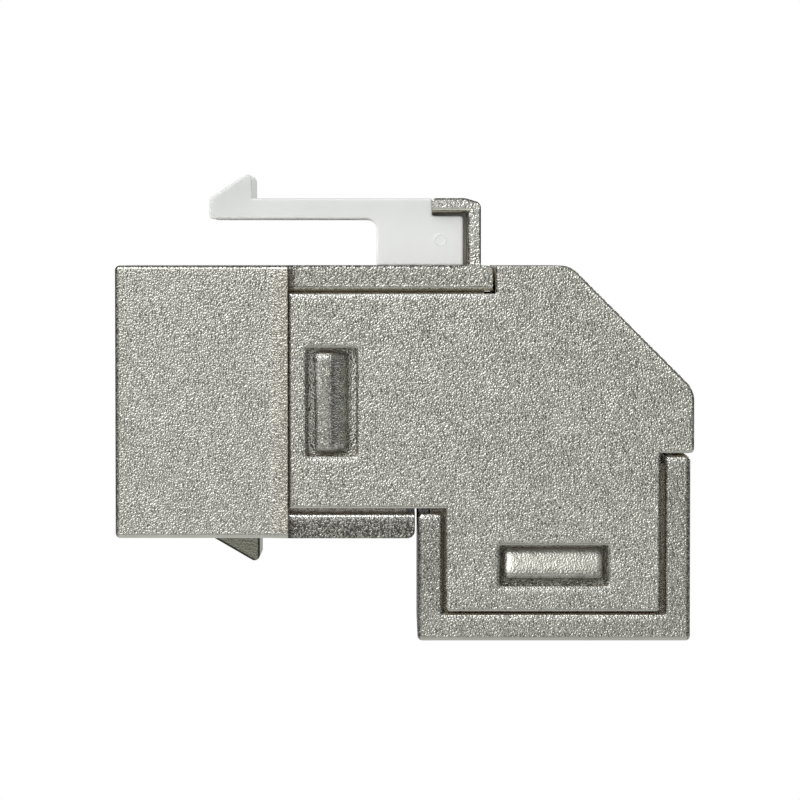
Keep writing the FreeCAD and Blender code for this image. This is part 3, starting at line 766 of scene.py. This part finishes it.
def make_latch(material):
    """The latch is one moulding: a foot under the bracket, a springy arm and the hook at its tip."""
    shape = bmesh.new()
    corners = [
        (FOOT_FRONT, FOOT_LOW, 0),
        (FOOT_BACK, FOOT_LOW, 0),
        (FOOT_BACK, STEP_TOP, STEP_ROUND),
        (STEP_FRONT, STEP_TOP, 0),
        (STEP_FRONT, LATCH_TOP, 0),
        (HOOK_BACK, LATCH_TOP, 0),
        (HOOK_BACK, HOOK_TOP, HOOK_ROUND),
        (LATCH_TIP, LATCH_TOP, 0),
        (LATCH_TIP, LATCH_LOW, TIP_ROUND),
        (FOOT_FRONT, LATCH_LOW, ARM_ROUND),
    ]
    outline_block(shape, corners, LATCH_HALF_WIDTH)
    soften_edges(shape, EDGE_ROUND, EDGE_SEGMENTS, EDGE_LEAST_TURN)
    cut_for_bending(shape)
    raise_mark(shape, (MARK_ALONG, -LATCH_HALF_WIDTH, MARK_UP), MARK_RADIUS, MARK_WIDTH, MARK_RISE)
    peg_high = FOOT_LOW + ROOT
    add_block(shape, (PEG_FRONT, -PEG_HALF_WIDTH, PEG_LOW), (PEG_BACK, PEG_HALF_WIDTH, peg_high))
    rib_back = FOOT_BACK + RIB_RISE
    rib_top = STEP_TOP + RIB_RISE
    rib_low = STEP_TOP - ROOT
    rib_front = FOOT_BACK - ROOT
    add_block(shape, (STEP_FRONT, -RIB_HALF_WIDTH, rib_low), (rib_back, RIB_HALF_WIDTH, rib_top))
    add_block(shape, (rib_front, -RIB_HALF_WIDTH, FOOT_LOW), (rib_back, RIB_HALF_WIDTH, rib_low))
    latch = finished_piece("latch", shape, material)
    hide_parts("latch_foot", "latch_arm")
    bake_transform(latch)


FINISHES = {
    "plated_zinc": plated_zinc(),
    "latch_plastic": latch_plastic(),
    "carrier_plastic": carrier_plastic(),
    "contact_gold": drawn_metal("contact_gold", GOLD_SCALE, GOLD_DARK, GOLD_LIGHT, 0.22, 0.14),
    "spring_metal": drawn_metal("spring_metal", SPRING_SCALE, SPRING_DARK, SPRING_LIGHT, 0.2, 0.16),
    "circuit_board": circuit_board(),
}


def slot_of(name):
    """The finish of a CAD node, by its name."""
    if name.endswith("shell") or name == "elbow_cover":
        return "plated_zinc"
    if name.endswith("carrier"):
        return "carrier_plastic"
    if "shield_spring" in name:
        return "spring_metal"
    if "contact" in name:
        return "contact_gold"
    if name.startswith("latch"):
        return "latch_plastic"
    return "circuit_board"


for node_name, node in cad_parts.items():
    put_finish(node, FINISHES[slot_of(node_name)])
make_latch(FINISHES["latch_plastic"])


def bright_sheet(name):
    """White studio paper: it glows for the camera further out, and for reflections close to the object."""
    finish = Finish(name)
    along, across, _ = finish.parts(finish.position())
    camera, glossy, clear = (finish.seen_by(kind) for kind in ("Camera", "Glossy", "Transmission"))
    reach = ((along - VIEW_CENTRE[0]) ** 2 + across ** 2) ** 0.5
    outer = PAPER_GLOW + reach.rise(*CAMERA_REACH) * (1 - PAPER_GLOW)
    inner = 1 - reach.rise(*MIRROR_REACH)
    glow = (camera.most(clear) * outer).most(glossy * inner)
    finish.give(base_color=PAPER, roughness=0.9)
    paper = Signal(finish, finish.shader.outputs[0])
    white = finish.add("ShaderNodeEmission", None, {"Color": WHITE, "Strength": 1.0})
    mixed = finish.add("ShaderNodeMixShader", None, {0: glow, 1: paper, 2: white})
    finish.feed(finish.tree.nodes["Material Output"].inputs["Surface"], mixed)
    return finish.material


def make_floor():
    shape = bmesh.new()
    bmesh.ops.create_grid(shape, x_segments=1, y_segments=1, size=FLOOR_HALF)
    bmesh.ops.translate(shape, vec=(VIEW_CENTRE[0] * MM, 0, FLOOR_LEVEL), verts=shape.verts[:])
    finished_piece("floor", shape, bright_sheet("floor_paper"))


def hang_lamp(lamp, place, aim, power):
    lamp.energy = power
    holder = bpy.data.objects.new(lamp.name, lamp)
    holder.location = place
    holder.rotation_euler = (Vector(aim) - Vector(place)).to_track_quat("-Z", "Y").to_euler()
    bpy.context.scene.collection.objects.link(holder)
    return holder


def add_sheet_lamp(name, place, aim, size, power):
    lamp = bpy.data.lights.new(name, "AREA")
    lamp.shape = "RECTANGLE"
    lamp.size, lamp.size_y = size
    hang_lamp(lamp, place, aim, power)


def add_spot(name, place, aim, degrees, power):
    """A narrow beam that shows the plastics inside a port and leaves no highlight on metal."""
    lamp = bpy.data.lights.new(name, "SPOT")
    lamp.spot_size = math.radians(degrees)
    lamp.spot_blend = SPOT_BLEND
    lamp.shadow_soft_size = SPOT_RADIUS
    hang_lamp(lamp, place, aim, power).visible_glossy = False


def glow_towards(room, direction, fade, strength):
    """A glow round a direction. It fades in over two values of the cosine of the angle to it."""
    sockets = {0: room.add("ShaderNodeTexCoord", output="Generated"), 1: Vector(direction).normalized()}
    nearness = room.add("ShaderNodeVectorMath", {"operation": "DOT_PRODUCT"}, sockets, "Value")
    return nearness.rise(*fade) * strength


def light_studio():
    """A key lamp, a back lamp and a spot into the front port, in a dark room.

    The room has a broad glow behind each lamp, a fill above the rear on the near side, and faint glows ahead
    and at both ends. The camera sees it white.
    """
    add_sheet_lamp("key_lamp", KEY_PLACE, LAMP_AIM, KEY_SIZE, KEY_POWER)
    add_sheet_lamp("back_lamp", BACK_PLACE, LAMP_AIM, BACK_SIZE, BACK_POWER)
    add_spot("port_spot", SPOT_PLACE, SPOT_AIM, SPOT_DEGREES, SPOT_POWER)
    world = bpy.data.worlds.new("studio")
    world.use_nodes = True
    bpy.context.scene.world = world
    room = Nodes(world.node_tree)
    over_key = glow_towards(room, OVER_KEY, OVER_KEY_FADE, OVER_KEY_STRENGTH)
    over_back = glow_towards(room, OVER_BACK, OVER_BACK_FADE, OVER_BACK_STRENGTH)
    fill = glow_towards(room, FILL, FILL_FADE, FILL_STRENGTH)
    faint = [glow_towards(room, way, FAINT_FADE, FAINT_STRENGTH) for way in (AHEAD, FRONT_END, REAR_END)]
    lit = ROOM_STRENGTH + strongest(over_key, over_back, fill, *faint)
    background = world.node_tree.nodes["Background"]
    room.feed(background.inputs["Color"], WHITE)
    seen = room.seen_by("Camera").most(room.seen_by("Transmission"))
    room.feed(background.inputs["Strength"], seen.most(lit))


def place_camera():
    camera = bpy.data.cameras.new("side_view")
    camera.sensor_width = SENSOR
    camera.lens = SENSOR * CAMERA_DISTANCE / VIEW_ACROSS
    camera.clip_start = CLIP_NEAR * MM
    camera.clip_end = CLIP_FAR * MM
    holder = bpy.data.objects.new("side_view", camera)
    along, up = VIEW_CENTRE
    aim = Vector((along, NEAR_SIDE, up)) * MM
    holder.location = Vector((along, NEAR_SIDE - CAMERA_DISTANCE, CAMERA_HEIGHT)) * MM
    holder.rotation_euler = (aim - holder.location).to_track_quat("-Z", "Y").to_euler()
    bpy.context.scene.collection.objects.link(holder)
    bpy.context.scene.camera = holder


make_floor()
light_studio()
place_camera()
bpy.context.scene.view_settings.view_transform = "Standard"
